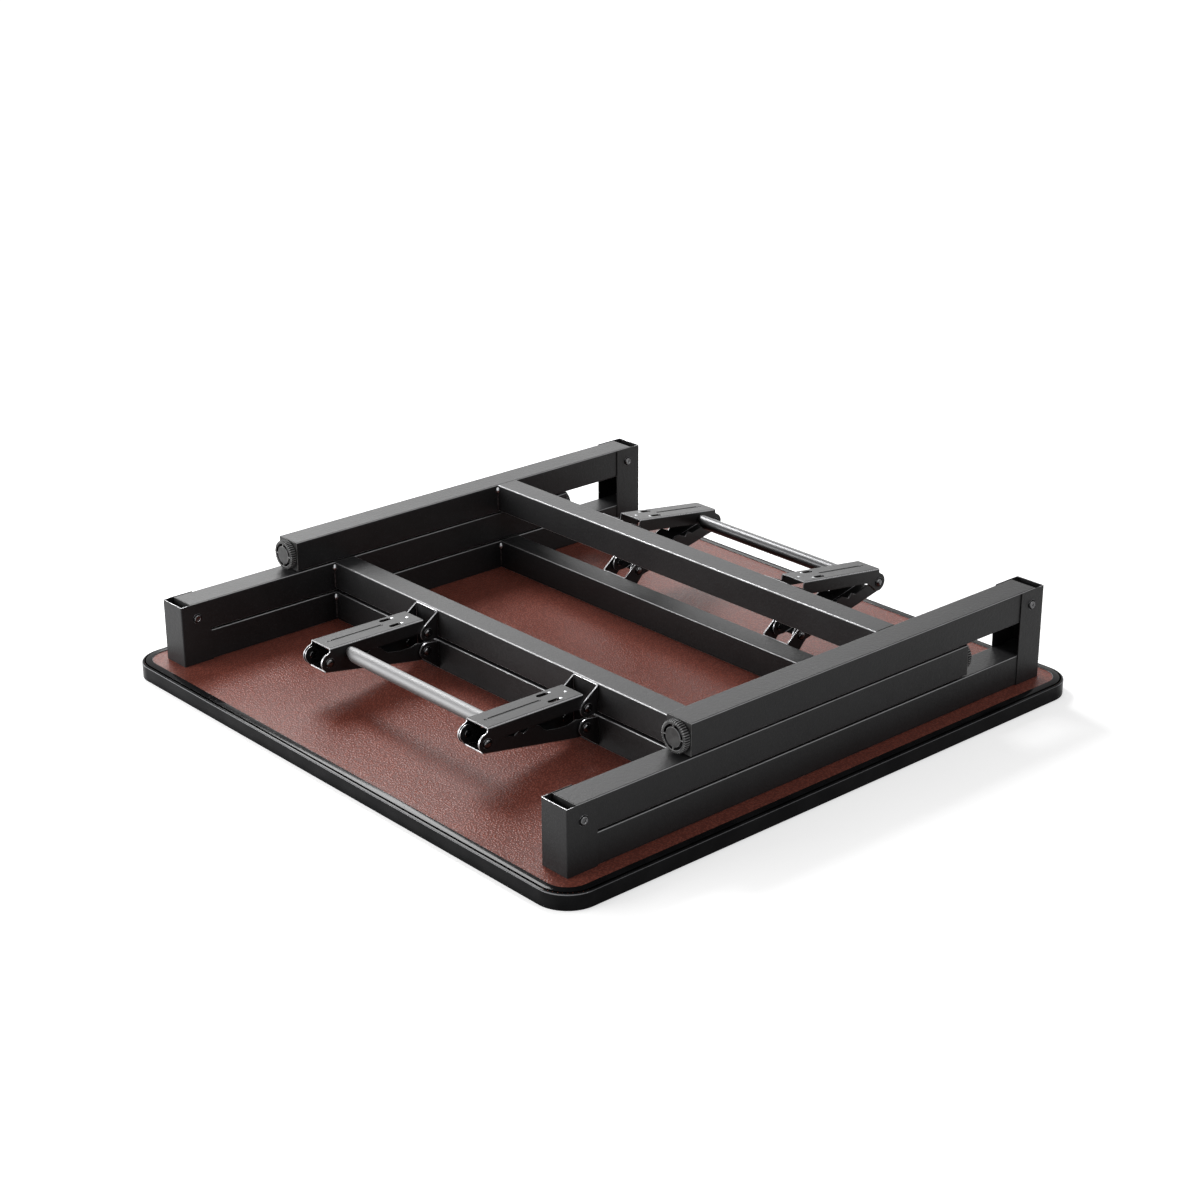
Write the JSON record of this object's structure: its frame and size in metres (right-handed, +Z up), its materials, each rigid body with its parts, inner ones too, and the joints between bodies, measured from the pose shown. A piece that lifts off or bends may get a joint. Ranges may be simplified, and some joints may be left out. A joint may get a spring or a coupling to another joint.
{
  "type": "folding table",
  "caption": "Square folding table lying face down, with U-post side rails, tube leg frames folded one over the other, riveted braces with handle bars, and screw feet.",
  "frame": {"origin": "centre of the table's face, on the floor it lies on", "axes": "+X along the crossbars, +Y along the side rails from the inner leg's pivots to the outer leg's, +Z up out of the underside"},
  "size_m": [0.86, 0.86, 0.1457],
  "materials": {
    "frame_coat": "satin black powder coat",
    "brace_coat": "semi-gloss black coat",
    "black_zinc": "black zinc, polished",
    "zinc": "zinc plated",
    "handle": "smooth steel tube",
    "plastic": "moulded black plastic",
    "trim": "glossy black edging",
    "lining": "fine pebbled red-brown lining",
    "core": "medium density fibreboard",
    "face": "plain laminate"
  },
  "bodies": {
    "root": {"face_laminate": "face", "core_board": "core", "underside_lining": "lining", "edge_trim": "trim", "left_side_rail": "frame_coat", "right_side_rail": "frame_coat", "near_cross_rail": "frame_coat", "far_cross_rail": "frame_coat", "near_left_post": "frame_coat", "near_right_post": "frame_coat", "far_left_post": "frame_coat", "far_right_post": "frame_coat", "near_lower_brackets": "brace_coat", "far_lower_brackets": "brace_coat", "near_lower_rivets": "black_zinc", "far_lower_rivets": "black_zinc", "near_pivot_bolts": "black_zinc", "far_pivot_bolts": "black_zinc", "pivot_cap_nuts": "black_zinc", "rail_screws": "zinc", "frame_weld_beads": "frame_coat", "inner_leg_left_tube": "frame_coat", "inner_leg_right_tube": "frame_coat", "inner_leg_crossbar": "frame_coat", "inner_leg_brackets": "brace_coat", "inner_leg_bracket_rivets": "black_zinc", "inner_leg_weld_beads": "frame_coat", "inner_leg_sleeves": "zinc", "inner_leg_foot_plugs": "plastic", "inner_leg_end_caps": "plastic", "inner_lower_links": "brace_coat", "inner_upper_links": "brace_coat", "inner_handle_bar": "handle", "inner_elbow_rivets": "black_zinc"},
    "inner_left_foot": {"inner_left_foot": "plastic"},
    "inner_right_foot": {"inner_right_foot": "plastic"},
    "outer_leg": {"outer_leg_left_tube": "frame_coat", "outer_leg_right_tube": "frame_coat", "outer_leg_crossbar": "frame_coat", "outer_leg_brackets": "brace_coat", "outer_leg_bracket_rivets": "black_zinc", "outer_leg_weld_beads": "frame_coat", "outer_leg_sleeves": "zinc", "outer_leg_foot_plugs": "plastic", "outer_leg_end_caps": "plastic"},
    "outer_lower_brace": {"outer_lower_links": "brace_coat"},
    "outer_upper_brace": {"outer_upper_links": "brace_coat", "outer_handle_bar": "handle", "outer_elbow_rivets": "black_zinc"},
    "outer_left_foot": {"outer_left_foot": "plastic"},
    "outer_right_foot": {"outer_right_foot": "plastic"}
  },
  "joints": [
    {"name": "inner_left_foot_screw", "type": "slide", "parent": "root", "child": "inner_left_foot", "axis": [0, 1, 0], "range_m": [0, 0.008]},
    {"name": "inner_right_foot_screw", "type": "slide", "parent": "root", "child": "inner_right_foot", "axis": [0, 1, 0], "range_m": [0, 0.008]},
    {"name": "outer_leg_fold", "type": "hinge", "parent": "root", "child": "outer_leg", "pos_m": [0, 0.3715, 0.1245], "axis": [-1, 0, 0], "range_deg": [0, 90]},
    {"name": "outer_lower_brace_turn", "type": "hinge", "parent": "root", "child": "outer_lower_brace", "pos_m": [0, 0.1902, 0.065], "axis": [-1, 0, 0], "range_deg": [-38.96, 0]},
    {"name": "outer_elbow_turn", "type": "hinge", "parent": "outer_lower_brace", "child": "outer_upper_brace", "pos_m": [0, 0.3365, 0.09809], "axis": [-1, 0, 0], "range_deg": [0, 154.43]},
    {"name": "outer_left_foot_screw", "type": "slide", "parent": "outer_leg", "child": "outer_left_foot", "axis": [0, -1, 0], "range_m": [0, 0.008]},
    {"name": "outer_right_foot_screw", "type": "slide", "parent": "outer_leg", "child": "outer_right_foot", "axis": [0, -1, 0], "range_m": [0, 0.008]}
  ],
  "couplings": [
    {"joint": "outer_lower_brace_turn", "follows": "outer_leg_fold", "ratio": -0.43281},
    {"joint": "outer_elbow_turn", "follows": "outer_leg_fold", "ratio": 1.7158}
  ]
}
